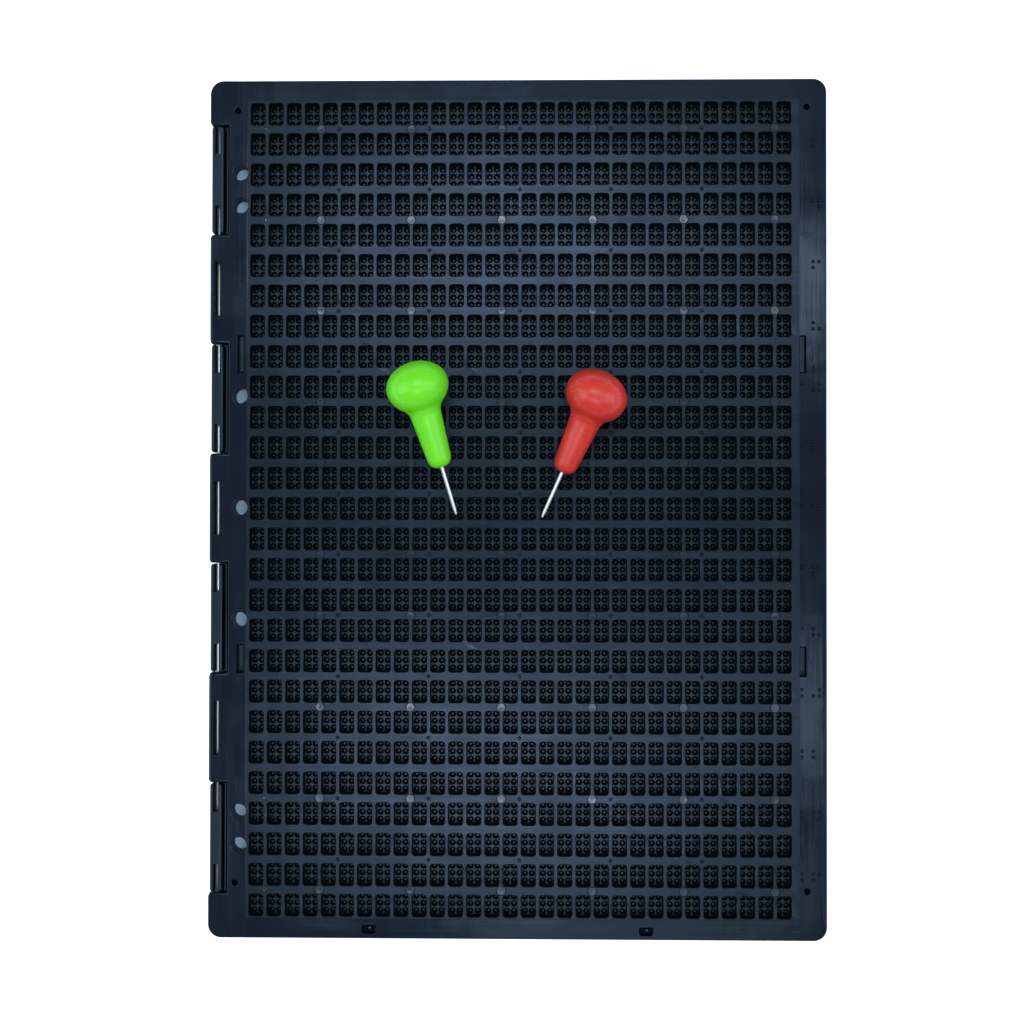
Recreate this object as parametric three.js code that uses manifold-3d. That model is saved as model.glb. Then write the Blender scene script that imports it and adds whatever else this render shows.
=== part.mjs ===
// A full-page braille slate with its two styluses.
//
// The slate is two moulded plates joined by a long hinge down the left edge. The lower plate
// carries the pits that form the dots; the cover is a grid of windows, one for each braille
// cell. Paper is laid between them, held by four small pins, and each dot is pressed into it
// with a stylus. A steel rod runs through the knuckles of both plates. The two styluses, each
// a moulded handle with a steel needle, lie on the cover.
//
// Millimetres. +X to the right, +Y up the page, +Z up from the table. The origin is the centre
// of the slate's underside.

import * as THREE from "three";
import { mergeVertices } from "three/addons/utils/BufferGeometryUtils.js";
import Module from "manifold-3d";

const wasm = await Module();
wasm.setup();

// ---- Driving dimensions ----

// The slate
const WIDTH = 202.6;
const LENGTH = 282.0;
const CORNER_RADIUS = 4.4;
const LOWER_TOP = 2.7;
const COVER_BOTTOM = 3.0;
const COVER_TOP = 6.0;
const CLEARANCE = 0.3;

// The field of braille cells
const CELLS = 30;
const LINES = 27;
const CELL_PITCH = 5.96;
const LINE_PITCH = 10.0;
const FIELD_X = 0.9;
const FIELD_Y = -0.15;
const WINDOW_WIDTH = 4.6;
const WINDOW_HEIGHT = 7.2;
const CELLS_IN_A_SLOT = 5;

// The hinge
const HINGE_X = -98.8;
const HINGE_Z = 3.0;
const SEGMENT = 36.1;
const SEGMENTS = 7;
const ROD_RADIUS = 0.9;
const BORE_RADIUS = ROD_RADIUS + CLEARANCE;
const BARREL_HALF_WIDTH = 2.0;
const COVER_LIP = 2.5;
const BARREL_ROUND = 1.2;
const COVER_KNUCKLE_BOTTOM = 0.4;
const COVER_NOTCH = 3.6;
const LOWER_NOTCH = 4.2;
const HALF_EYE = 9.0;
const ROD_END_DEPTH = 8.2;

// Holes, lugs and pins of the margins
const HOLE_RADIUS = 2.5;
const HOLE_X = -91.3;
const HOLE_Y = [110, 99.8, 36.7, 0, -36.7, -99.8, -110];
const LUG_SLOT_WIDTH = 2.2;
const LUG_WIDTH = 1.2;
const LUG_TOP = 5.0;
const LUG_END_GAP = 0.5;
const LUG_OFFSET = 0.1;
const LUG_SLOTS = [
  { x: -91.0, y: 50.7, length: 12.4 },
  { x: 93.5, y: 50.5, length: 12.4 },
  { x: -91.0, y: -49.6, length: 10.6 },
  { x: 93.5, y: -50.2, length: 10.6 },
];
const PIN_RADIUS = 0.6;
const PIN_HOLE_RADIUS = 1.2;
const PIN_BOTTOM = 0.8;
const PIN_SHOULDER = 4.4;
const PIN_TIP = 5.2;
const PINS = [
  [-92.2, 131.1],
  [94.8, 131.7],
  [-92.5, -123.0],
  [94.8, -124.9],
];

// The styluses, measured from the needle's end of the handle
const HEAD_RADIUS = 10.1;
const HEAD_WIDEST = 27.5;
const HEAD_CROWN = 7.9;
const HEAD_UNDER = 8.7;
const HEAD_UNDER_ANGLE = 0.94;
const NECK_RADIUS = 5.15;
const NECK_AT = 19.0;
const GRIP_RADIUS = 4.0;
const GRIP_AT = 3.4;
const GRIP_END_FLAT = 1.2;
const NEEDLE_RADIUS = 0.65;
const NEEDLE_REACH = 16.8;
const NEEDLE_INSIDE = 13.5;
const NEEDLE_POINT = 0.9;
const NEEDLE_TIP_RADIUS = 0.35;
const LIE_ANGLE = THREE.MathUtils.degToRad(14.2);
const HEAD_AXIS_HEIGHT = 16.35;
const STYLUSES = [
  { name: "green_stylus", color: 0x6fe01c, x: -31.9, y: 39.1, turn: 16.2 },
  { name: "red_stylus", color: 0xd8403a, x: 25.6, y: 36.2, turn: -23.9 },
];

const ROUND_SIDES = 16;
const LATHE_SIDES = 24;
const ARC_STEPS = 6;
const PROFILE_STEPS = 3;

const PLATE_COLOR = 0x27323d;
const STEEL_COLOR = 0xc4c8cc;

// ---- Helpers ----

// A closed geometry as a manifold-3d solid.
function solidOf(geometry) {
  const bare = geometry.index ? geometry.toNonIndexed() : geometry.clone();
  bare.deleteAttribute("normal");
  bare.deleteAttribute("uv");
  const merged = mergeVertices(bare, 1e-4);
  return new wasm.Manifold(
    new wasm.Mesh({
      numProp: 3,
      vertProperties: merged.attributes.position.array,
      triVerts: new Uint32Array(merged.index.array),
    }),
  );
}

// A solid back as a three.js geometry with flat faces.
function geometryOf(solid) {
  const mesh = solid.getMesh();
  const indexed = new THREE.BufferGeometry();
  indexed.setAttribute("position", new THREE.BufferAttribute(mesh.vertProperties, mesh.numProp));
  indexed.setIndex(new THREE.BufferAttribute(mesh.triVerts, 1));
  const flat = indexed.toNonIndexed();
  flat.computeVertexNormals();
  return flat;
}

// A box between two places on each axis.
function block(x0, x1, y0, y1, z0, z1) {
  const box = new THREE.BoxGeometry(x1 - x0, y1 - y0, z1 - z0);
  box.translate((x0 + x1) / 2, (y0 + y1) / 2, (z0 + z1) / 2);
  return solidOf(box);
}

// A shape of the XY plane as a solid between two heights.
function slab(shape, z0, z1) {
  const made = new THREE.ExtrudeGeometry(shape, {
    depth: z1 - z0,
    bevelEnabled: false,
    curveSegments: ARC_STEPS,
  });
  made.translate(0, 0, z0);
  return solidOf(made);
}

// A section drawn in X and Z, drawn out along Y between two places.
function bar(section, y0, y1) {
  const made = new THREE.ExtrudeGeometry(section, {
    depth: y1 - y0,
    bevelEnabled: false,
    curveSegments: ARC_STEPS,
  });
  made.rotateX(Math.PI / 2);
  made.translate(0, y1, 0);
  return solidOf(made);
}

// An upright cylinder.
function post(x, y, radius, z0, z1) {
  const made = new THREE.CylinderGeometry(radius, radius, z1 - z0, ROUND_SIDES);
  made.rotateX(Math.PI / 2);
  made.translate(x, y, (z0 + z1) / 2);
  return solidOf(made);
}

// The rod's bore, along the hinge.
function hingeBore(y0, y1) {
  const made = new THREE.CylinderGeometry(BORE_RADIUS, BORE_RADIUS, y1 - y0, ROUND_SIDES);
  made.translate(HINGE_X, (y0 + y1) / 2, HINGE_Z);
  return solidOf(made);
}

// A rectangle with its own radius at each corner.
function roundedRectangle(x0, x1, y0, y1, { lowLeft = 0, lowRight = 0, topRight = 0, topLeft = 0 }) {
  const quarter = Math.PI / 2;
  const shape = new THREE.Shape();
  shape.moveTo(x0 + lowLeft, y0);
  shape.lineTo(x1 - lowRight, y0);
  if (lowRight) shape.absarc(x1 - lowRight, y0 + lowRight, lowRight, -quarter, 0, false);
  shape.lineTo(x1, y1 - topRight);
  if (topRight) shape.absarc(x1 - topRight, y1 - topRight, topRight, 0, quarter, false);
  shape.lineTo(x0 + topLeft, y1);
  if (topLeft) shape.absarc(x0 + topLeft, y1 - topLeft, topLeft, quarter, 2 * quarter, false);
  shape.lineTo(x0, y0 + lowLeft);
  if (lowLeft) shape.absarc(x0 + lowLeft, y0 + lowLeft, lowLeft, 2 * quarter, 3 * quarter, false);
  return shape;
}

// A rectangular cutter that goes right through the cover.
function coverSlot(x, y, width, height) {
  const past = 1;
  const [halfWidth, halfHeight] = [width / 2, height / 2];
  const [low, high] = [COVER_BOTTOM - past, COVER_TOP + past];
  return block(x - halfWidth, x + halfWidth, y - halfHeight, y + halfHeight, low, high);
}

// The hinge's segments from the foot of the page up: the lower plate's knuckles are the first,
// third, fifth and seventh, and the cover's are those between.
function hingeSegments() {
  const foot = (-SEGMENT * SEGMENTS) / 2;
  return Array.from({ length: SEGMENTS }, (_, i) => ({
    y0: foot + i * SEGMENT,
    y1: foot + (i + 1) * SEGMENT,
    ofLower: i % 2 === 0,
  }));
}

// Cuts the rod's bore through a knuckle, and opens it above or below: a knuckle holds the rod
// in alternating half eyes, so that it can be moulded without a long core.
function openKnuckle(solid, y0, y1, openAboveInMiddle) {
  const beyond = 1;
  const upward = (from, to) =>
    block(HINGE_X - BORE_RADIUS, HINGE_X + BORE_RADIUS, from, to, HINGE_Z, COVER_TOP + beyond);
  const downward = (from, to) =>
    block(HINGE_X - BORE_RADIUS, HINGE_X + BORE_RADIUS, from, to, -beyond, HINGE_Z);
  const middle = openAboveInMiddle ? upward : downward;
  const ends = openAboveInMiddle ? downward : upward;
  return solid
    .subtract(hingeBore(y0 - CLEARANCE / 2, y1 + CLEARANCE / 2))
    .subtract(middle(y0 + HALF_EYE, y1 - HALF_EYE))
    .subtract(ends(y0 - CLEARANCE / 2, y0 + HALF_EYE))
    .subtract(ends(y1 - HALF_EYE, y1 + CLEARANCE / 2));
}

// ---- The cover ----

// Windows of neighbouring cells are joined here into one slot for every group of cells.
function windowSlots() {
  const slots = [];
  const width = (CELLS_IN_A_SLOT - 1) * CELL_PITCH + WINDOW_WIDTH;
  for (let line = 0; line < LINES; line++) {
    const y = FIELD_Y + (line - (LINES - 1) / 2) * LINE_PITCH;
    for (let group = 0; group < CELLS / CELLS_IN_A_SLOT; group++) {
      const middleCell = group * CELLS_IN_A_SLOT + (CELLS_IN_A_SLOT - 1) / 2;
      const x = FIELD_X + (middleCell - (CELLS - 1) / 2) * CELL_PITCH;
      slots.push(coverSlot(x, y, width, WINDOW_HEIGHT));
    }
  }
  return slots;
}

function makeCover() {
  const corners = {
    lowLeft: CORNER_RADIUS,
    lowRight: CORNER_RADIUS,
    topRight: CORNER_RADIUS,
    topLeft: CORNER_RADIUS,
  };
  const outline = roundedRectangle(-WIDTH / 2, WIDTH / 2, -LENGTH / 2, LENGTH / 2, corners);
  let cover = slab(outline, COVER_BOTTOM, COVER_TOP);
  for (const slot of windowSlots()) cover = cover.subtract(slot);
  for (const { x, y, length } of LUG_SLOTS) cover = cover.subtract(coverSlot(x, y, LUG_SLOT_WIDTH, length));

  const lip = HINGE_X - COVER_LIP;
  const knuckleSection = roundedRectangle(
    lip,
    HINGE_X + BARREL_HALF_WIDTH,
    COVER_KNUCKLE_BOTTOM,
    COVER_TOP,
    { lowLeft: BARREL_ROUND, lowRight: BARREL_ROUND },
  );
  for (const { y0, y1, ofLower } of hingeSegments()) {
    if (ofLower) {
      const past = 1;
      cover = cover.subtract(
        block(lip - past, HINGE_X + COVER_NOTCH, y0, y1, COVER_BOTTOM - past, COVER_TOP + past),
      );
    } else {
      cover = openKnuckle(cover.add(bar(knuckleSection, y0, y1)), y0, y1, true);
    }
  }

  // The corner knuckles close the hinge's two ends and stop the rod.
  const hingeEnd = (SEGMENT * SEGMENTS) / 2;
  const knuckleEnd = LENGTH / 2 - CORNER_RADIUS;
  for (const side of [-1, 1]) {
    const [y0, y1] = [side * hingeEnd, side * knuckleEnd].sort((a, b) => a - b);
    const [rod0, rod1] = [side * (hingeEnd - CLEARANCE), side * (hingeEnd + ROD_END_DEPTH)].sort(
      (a, b) => a - b,
    );
    cover = cover.add(bar(knuckleSection, y0, y1)).subtract(hingeBore(rod0, rod1));
  }

  for (const y of HOLE_Y) cover = cover.subtract(post(HOLE_X, y, HOLE_RADIUS, 0, COVER_TOP + 1));
  for (const [x, y] of PINS) cover = cover.subtract(post(x, y, PIN_HOLE_RADIUS, 0, COVER_TOP + 1));
  return cover;
}

// ---- The lower plate ----

function makeLowerPlate() {
  const outline = roundedRectangle(HINGE_X + LOWER_NOTCH, WIDTH / 2, -LENGTH / 2, LENGTH / 2, {
    lowRight: CORNER_RADIUS,
    topRight: CORNER_RADIUS,
  });
  let plate = slab(outline, 0, LOWER_TOP);

  const barrelSection = roundedRectangle(
    HINGE_X - BARREL_HALF_WIDTH,
    HINGE_X + BARREL_HALF_WIDTH,
    0,
    COVER_TOP,
    { topLeft: BARREL_ROUND, topRight: BARREL_ROUND },
  );
  for (const { y0, y1, ofLower } of hingeSegments()) {
    if (!ofLower) continue;
    const [from, to] = [y0 + CLEARANCE, y1 - CLEARANCE];
    const tongue = block(HINGE_X, HINGE_X + LOWER_NOTCH + 1, from, to, 0, LOWER_TOP);
    plate = openKnuckle(plate.add(tongue).add(bar(barrelSection, from, to)), from, to, false);
  }

  for (const { x, y, length } of LUG_SLOTS) {
    const middle = x - Math.sign(x) * LUG_OFFSET;
    const [halfWidth, halfLength] = [LUG_WIDTH / 2, length / 2 - LUG_END_GAP];
    const [low, high] = [LOWER_TOP / 2, LUG_TOP];
    plate = plate.add(
      block(middle - halfWidth, middle + halfWidth, y - halfLength, y + halfLength, low, high),
    );
  }
  for (const y of HOLE_Y) plate = plate.subtract(post(HOLE_X, y, HOLE_RADIUS, -1, LOWER_TOP + 1));
  for (const [x, y] of PINS) {
    const seat = post(x, y, PIN_RADIUS + CLEARANCE, PIN_BOTTOM - CLEARANCE, LOWER_TOP + 1);
    plate = plate.subtract(seat);
  }
  return plate;
}

// ---- Small steel pieces ----

function makeRod() {
  const length = SEGMENT * SEGMENTS + 2 * (ROD_END_DEPTH - CLEARANCE);
  const rod = new THREE.CylinderGeometry(ROD_RADIUS, ROD_RADIUS, length, ROUND_SIDES);
  rod.translate(HINGE_X, 0, HINGE_Z);
  return rod;
}

function makePin() {
  const points = [
    new THREE.Vector2(0, PIN_BOTTOM),
    new THREE.Vector2(PIN_RADIUS, PIN_BOTTOM),
    new THREE.Vector2(PIN_RADIUS, PIN_SHOULDER),
    new THREE.Vector2(0, PIN_TIP),
  ];
  const pin = new THREE.LatheGeometry(points, ROUND_SIDES);
  pin.rotateX(Math.PI / 2);
  return pin;
}

// ---- The styluses ----
// Each is turned about Y: the needle's point is below zero, and the head is at the top.

function makeHandle() {
  const bore = NEEDLE_RADIUS + CLEARANCE;
  const underX = HEAD_RADIUS * Math.cos(HEAD_UNDER_ANGLE);
  const underY = HEAD_WIDEST - HEAD_UNDER * Math.sin(HEAD_UNDER_ANGLE);
  const profile = new THREE.Path();
  profile.moveTo(0, NEEDLE_INSIDE + CLEARANCE);
  profile.lineTo(bore, NEEDLE_INSIDE + CLEARANCE);
  profile.lineTo(bore, 0);
  profile.lineTo(GRIP_END_FLAT, 0);
  const endRound = GRIP_RADIUS - GRIP_END_FLAT;
  profile.absellipse(GRIP_END_FLAT, GRIP_AT, endRound, GRIP_AT, -Math.PI / 2, 0, false);
  profile.lineTo(NECK_RADIUS, NECK_AT);
  profile.quadraticCurveTo(NECK_RADIUS + 0.15, underY - 0.35, underX, underY);
  profile.absellipse(0, HEAD_WIDEST, HEAD_RADIUS, HEAD_UNDER, -HEAD_UNDER_ANGLE, 0, false);
  profile.absellipse(0, HEAD_WIDEST, HEAD_RADIUS, HEAD_CROWN, 0, Math.PI / 2, false);
  const points = mergeNear(profile.getPoints(PROFILE_STEPS));
  points[points.length - 1].x = 0;
  return new THREE.LatheGeometry(points, LATHE_SIDES);
}

// Drops a point that repeats the one before it, where two stretches of a profile meet.
function mergeNear(points) {
  const least = 1e-3;
  return points.filter((point, i) => i === 0 || point.distanceTo(points[i - 1]) > least);
}

function makeNeedle() {
  const points = [
    new THREE.Vector2(0, -NEEDLE_REACH),
    new THREE.Vector2(NEEDLE_TIP_RADIUS, -NEEDLE_REACH),
    new THREE.Vector2(NEEDLE_RADIUS, NEEDLE_POINT - NEEDLE_REACH),
    new THREE.Vector2(NEEDLE_RADIUS, NEEDLE_INSIDE),
    new THREE.Vector2(0, NEEDLE_INSIDE),
  ];
  return new THREE.LatheGeometry(points, ROUND_SIDES);
}

// A stylus lies on its head and the end of its grip, with the needle pointing down the page.
function makeStylus({ name, color, x, y, turn }) {
  const around = THREE.MathUtils.degToRad(turn);
  const needleWay = new THREE.Vector3(
    Math.sin(around) * Math.cos(LIE_ANGLE),
    -Math.cos(around) * Math.cos(LIE_ANGLE),
    -Math.sin(LIE_ANGLE),
  );
  const stylus = new THREE.Group();
  stylus.quaternion.setFromUnitVectors(new THREE.Vector3(0, -1, 0), needleWay);
  stylus.position.set(x, y, HEAD_AXIS_HEIGHT).addScaledVector(needleWay, HEAD_WIDEST);
  stylus.add(named(name + "_handle", makeHandle(), { color, roughness: 0.32, metalness: 0 }));
  stylus.add(named(name + "_needle", makeNeedle(), { color: STEEL_COLOR, roughness: 0.25, metalness: 1 }));
  return stylus;
}

// ---- The whole set ----

function named(name, geometry, finish) {
  const mesh = new THREE.Mesh(geometry, new THREE.MeshStandardMaterial(finish));
  mesh.name = name;
  return mesh;
}

const braille_slate = new THREE.Group();
const plateFinish = { color: PLATE_COLOR, roughness: 0.42, metalness: 0 };
const steelFinish = { color: STEEL_COLOR, roughness: 0.22, metalness: 1 };

braille_slate.add(named("lower_plate", geometryOf(makeLowerPlate()), plateFinish));
braille_slate.add(named("cover_plate", geometryOf(makeCover()), plateFinish));
braille_slate.add(named("hinge_rod", makeRod(), steelFinish));
PINS.forEach(([x, y], i) => {
  const pin = named("paper_pin_" + (i + 1), makePin(), steelFinish);
  pin.position.set(x, y, 0);
  braille_slate.add(pin);
});
for (const stylus of STYLUSES) braille_slate.add(makeStylus(stylus));

export default braille_slate;
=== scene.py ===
# %% [markdown]
# # A braille slate and its two styluses
#
# The slate is a writing frame for braille. Paper goes between two dark plastic plates that are joined
# by a long hinge. The lower plate is full of small pits, six for each braille cell, and the cover has
# one window for each cell. A stylus, a steel needle in a mushroom-shaped handle, presses the paper into
# the pits through the windows. This notebook builds the fine surface of every piece round the packed
# model, which holds the sizes and the joints.

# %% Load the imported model
import math

import bpy
from mathutils import Matrix, Vector


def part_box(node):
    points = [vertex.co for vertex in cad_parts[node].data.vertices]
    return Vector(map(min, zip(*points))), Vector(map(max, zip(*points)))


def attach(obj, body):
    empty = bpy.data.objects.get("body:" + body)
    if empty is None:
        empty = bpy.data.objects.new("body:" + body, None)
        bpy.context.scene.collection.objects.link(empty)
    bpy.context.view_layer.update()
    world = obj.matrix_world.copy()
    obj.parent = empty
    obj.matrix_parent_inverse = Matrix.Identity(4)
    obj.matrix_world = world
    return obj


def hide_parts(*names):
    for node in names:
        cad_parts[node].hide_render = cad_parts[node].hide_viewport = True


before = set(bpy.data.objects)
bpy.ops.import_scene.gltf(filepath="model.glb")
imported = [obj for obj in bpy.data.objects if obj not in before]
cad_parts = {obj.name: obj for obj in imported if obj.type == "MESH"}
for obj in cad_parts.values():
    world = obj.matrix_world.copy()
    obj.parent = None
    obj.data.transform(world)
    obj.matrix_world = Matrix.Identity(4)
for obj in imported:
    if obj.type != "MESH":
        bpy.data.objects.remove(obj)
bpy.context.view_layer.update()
MM = 0.001
print("CAD nodes:", sorted(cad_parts))


# %% [markdown]
# ## Sizes
#
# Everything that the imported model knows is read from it: where the plates start and end, where the
# hinge's rod runs and where the needles point. The few sizes below are those of the fine details, in
# millimetres, as a tool maker would write them on the drawing of the mould.

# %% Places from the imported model, in millimetres
def box_mm(node):
    low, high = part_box(node)
    return low / MM, high / MM


cover_low, cover_high = box_mm("cover_plate")
rod_low, rod_high = box_mm("hinge_rod")
ROD_X = (rod_low.x + rod_high.x) / 2
ROD_Z = (rod_low.z + rod_high.z) / 2
LEFT, RIGHT = cover_low.x, cover_high.x
FOOT, HEAD = cover_low.y, cover_high.y
COVER_TOP = cover_high.z
print(f"slate {RIGHT - LEFT:.1f} by {HEAD - FOOT:.1f} mm, rod at x {ROD_X:.2f}, z {ROD_Z:.2f}")

# %% Sizes of the mouldings, in millimetres
# The plates, with room for the paper between them
LOWER_TOP = 2.7
COVER_BOTTOM = 3.0
CORNER = 4.4
# The field of cells, and its middle
CELLS, LINES = 30, 27
CELL_PITCH, LINE_PITCH = 5.96, 10.0
FIELD_X, FIELD_Y = 0.9, -0.15
# The hinge: a knuckle's length with its play, how far its eyes are open, and the bore for the rod
SEGMENT = 36.1
SEGMENT_COUNT = 7
PLAY = 0.3
HALF_EYE = 9.2
BARREL_HALF = 2.0
SLOT_WIDTH = 1.74


def linear(hex_color):
    """A screen colour such as "1D2B3A" as linear red, green, blue and alpha."""
    channels = [int(hex_color[i : i + 2], 16) / 255 for i in (0, 2, 4)]
    return [c / 12.92 if c <= 0.04045 else ((c + 0.055) / 1.055) ** 2.4 for c in channels] + [1.0]


def cell_x(column):
    """The middle of a column of cells; half a step gives the web between two columns."""
    return FIELD_X + (column - (CELLS - 1) / 2) * CELL_PITCH


def line_y(line):
    """The middle of a line of cells, counted from the head of the page."""
    return FIELD_Y + ((LINES - 1) / 2 - line) * LINE_PITCH


# %% [markdown]
# ## The camera, the table and the light
#
# A flat object is best shown from straight above, like a scan, with the camera far enough away that the
# plate's edges stay straight. Two long soft lights to either side of the camera lay two pale bands of
# gloss across the dark plastic. Each is a wide, even box with a smaller core that makes the band
# brighter to the left, and a bright tube along its middle, which only the polished spots are smooth
# enough to show. A dim wall beyond each box lets its band fade out slowly, and two large windows light
# the sides of the round handles and of the rod. A bright table makes the background white.

# %% The camera, in millimetres and degrees
CAMERA_PLACE = (5.6, -5.5, 445.0)
CAMERA_TURN = (0.56, 0.94, 0.075)
FIELD_OF_VIEW = 41.84

bpy.ops.object.select_all(action="DESELECT")
camera_turn = [math.radians(angle) for angle in CAMERA_TURN]
bpy.ops.object.camera_add(location=Vector(CAMERA_PLACE) * MM, rotation=camera_turn)
camera = bpy.context.object
camera.name = "camera"
camera.data.angle = math.radians(FIELD_OF_VIEW)
camera.data.clip_start = 0.01
camera.data.clip_end = 20.0
bpy.context.scene.camera = camera
print(f"lens {camera.data.lens:.1f} mm")

# %% The table and its soft light
TABLE_SIZE = 6.0
LIGHT_COLOR = "ECF4FF"
AIM_SHARE = 0.4

bpy.ops.object.select_all(action="DESELECT")
bpy.ops.mesh.primitive_plane_add(size=TABLE_SIZE, location=(0, 0, 0))
floor = bpy.context.object
floor.name = "table"

# Each light's middle and size in millimetres, and how bright its face is
SOFT_LIGHTS = [
    {"name": "softbox_head", "place": (22, 178, 446), "size": (366, 78), "radiance": 3.2},
    {"name": "core_head", "place": (-45, 168, 445), "size": (180, 86), "radiance": 2.5},
    {"name": "tube_head", "place": (-20, 172, 444), "size": (280, 14), "radiance": 12.0},
    {"name": "wall_head", "place": (10, 280, 446), "size": (360, 90), "radiance": 0.45},
    {"name": "softbox_foot", "place": (22, -156, 446), "size": (370, 100), "radiance": 2.2},
    {"name": "core_foot", "place": (-45, -160, 445), "size": (180, 140), "radiance": 2.0},
    {"name": "tube_foot", "place": (-30, -150, 444), "size": (260, 16), "radiance": 9.0},
    {"name": "wall_foot", "place": (75, -250, 446), "size": (220, 110), "radiance": 0.9},
    {"name": "window_left", "place": (-1100, 0, 900), "size": (1100, 1100), "radiance": 1.9},
    {"name": "window_right", "place": (1100, 0, 900), "size": (1100, 1100), "radiance": 1.9},
]
for box in SOFT_LIGHTS:
    place = Vector(box["place"])
    aim = Vector((0, place.y * AIM_SHARE, 0))
    bpy.ops.object.light_add(type="AREA", location=place * MM)
    light = bpy.context.object
    light.name = box["name"]
    light.rotation_euler = (aim - place).to_track_quat("-Z", "Y").to_euler()
    light.data.shape = "RECTANGLE"
    light.data.size = box["size"][0] * MM
    light.data.size_y = box["size"][1] * MM
    light.data.energy = box["radiance"] * math.pi * light.data.size * light.data.size_y
    light.data.color = linear(LIGHT_COLOR)[:3]
print(len(SOFT_LIGHTS), "soft lights")


# %% [markdown]
# ## A few hand tools
#
# The same few moves shape every piece: a box between two places, a bevel on chosen edges, a cut or a
# join, and a copy moved to its own place. Each is one small function. Edges and faces are chosen by
# where they are, because there is no mouse here.

# %% Helpers that make and shape meshes
def only(piece):
    """Makes a piece the one selected and active object."""
    bpy.ops.object.select_all(action="DESELECT")
    piece.select_set(True)
    bpy.context.view_layer.objects.active = piece


def settle(name):
    """Names the object just made and moves its place into its mesh."""
    piece = bpy.context.object
    piece.name = name
    bpy.ops.object.transform_apply(location=True, rotation=True, scale=True)
    return piece


def block(name, low, high):
    """A box between two corners, in millimetres."""
    bpy.ops.object.select_all(action="DESELECT")
    low, high = Vector(low), Vector(high)
    bpy.ops.mesh.primitive_cube_add(size=1, location=(low + high) / 2 * MM, scale=(high - low) * MM)
    return settle(name)


def post(name, x, y, radius, low, high, sides=24, top_radius=None):
    """An upright round post, or a cone where it has a top radius of its own."""
    bpy.ops.object.select_all(action="DESELECT")
    bpy.ops.mesh.primitive_cone_add(
        vertices=sides,
        radius1=radius * MM,
        radius2=(radius if top_radius is None else top_radius) * MM,
        depth=(high - low) * MM,
        location=Vector((x, y, (low + high) / 2)) * MM,
    )
    return settle(name)


def choose_edges(piece, wanted):
    """Goes into edit mode with the edges selected whose two ends, in millimetres, are wanted."""
    only(piece)
    bpy.ops.object.mode_set(mode="EDIT")
    bpy.ops.mesh.select_mode(type="EDGE")
    bpy.ops.mesh.select_all(action="DESELECT")
    bpy.ops.object.mode_set(mode="OBJECT")
    places = [v.co / MM for v in piece.data.vertices]
    for edge in piece.data.edges:
        edge.select = wanted(places[edge.vertices[0]], places[edge.vertices[1]])
    bpy.ops.object.mode_set(mode="EDIT")


def choose_faces(piece, wanted):
    """Goes into edit mode with the faces selected whose middle, in millimetres, and normal are wanted."""
    only(piece)
    bpy.ops.object.mode_set(mode="EDIT")
    bpy.ops.mesh.select_mode(type="FACE")
    bpy.ops.mesh.select_all(action="DESELECT")
    bpy.ops.object.mode_set(mode="OBJECT")
    for face in piece.data.polygons:
        face.select = wanted(face.center / MM, face.normal)
    bpy.ops.object.mode_set(mode="EDIT")


def bevel(piece, width, segments, wanted):
    """Rounds the wanted edges."""
    choose_edges(piece, wanted)
    bpy.ops.mesh.bevel(offset=width * MM, segments=segments, affect="EDGES")
    bpy.ops.object.mode_set(mode="OBJECT")
    return piece


def upright(a, b):
    return abs(a.x - b.x) < 0.01 and abs(a.y - b.y) < 0.01


def level(z):
    """A test for edges that lie at one height."""
    return lambda a, b: abs(a.z - z) < 0.01 and abs(b.z - z) < 0.01


def combine(piece, tool, operation):
    """Cuts a tool away from a piece, or joins it on, and uses the tool up."""
    only(piece)
    count = len(piece.modifiers)
    change = piece.modifiers.new("change", "BOOLEAN")
    change.operation = operation
    change.object = tool
    change.solver = "MANIFOLD"
    bpy.ops.object.modifier_apply(modifier=change.name)
    if len(piece.modifiers) > count:
        raise RuntimeError(f"{tool.name} isn't a closed body, so {piece.name} was left unchanged")
    bpy.data.objects.remove(tool, do_unlink=True)
    return piece


def cut(piece, tool):
    return combine(piece, tool, "DIFFERENCE")


def join_on(piece, tool):
    return combine(piece, tool, "UNION")


def copy_to(piece, x=0.0, y=0.0, z=0.0):
    """A copy with its own mesh, moved by so many millimetres."""
    twin = piece.copy()
    twin.data = piece.data.copy()
    twin.data.transform(Matrix.Translation(Vector((x, y, z)) * MM))
    bpy.context.scene.collection.objects.link(twin)
    return twin


def as_one(pieces):
    """Several separate bodies as one mesh, to be used as one tool."""
    only(pieces[0])
    for piece in pieces:
        piece.select_set(True)
    bpy.ops.object.join()
    return bpy.context.object


def repeat(piece, count, step):
    """Repeats a body in a row, with a step in millimetres."""
    only(piece)
    row = piece.modifiers.new("row", "ARRAY")
    row.count = count
    row.use_relative_offset = False
    row.use_constant_offset = True
    row.constant_offset_displace = Vector(step) * MM
    bpy.ops.object.modifier_apply(modifier=row.name)
    return piece


def size_note(piece):
    triangles = sum(len(face.vertices) - 2 for face in piece.data.polygons)
    print(f"{piece.name}: {len(piece.data.vertices)} vertices, {triangles} triangles")


# %% [markdown]
# ## The hinge's segments
#
# The hinge is a row of knuckles, taken from the lower plate and from the cover in turn. The lower
# plate has the first and the last of the seven, and the cover's own corners close the ends.

# %% The segments
HINGE_FOOT = (FOOT + HEAD) / 2 - SEGMENT * SEGMENT_COUNT / 2
SEGMENT_ENDS = [(HINGE_FOOT + i * SEGMENT, HINGE_FOOT + (i + 1) * SEGMENT) for i in range(SEGMENT_COUNT)]
LOWER_SEGMENTS = SEGMENT_ENDS[0::2]
COVER_SEGMENTS = SEGMENT_ENDS[1::2]


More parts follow.
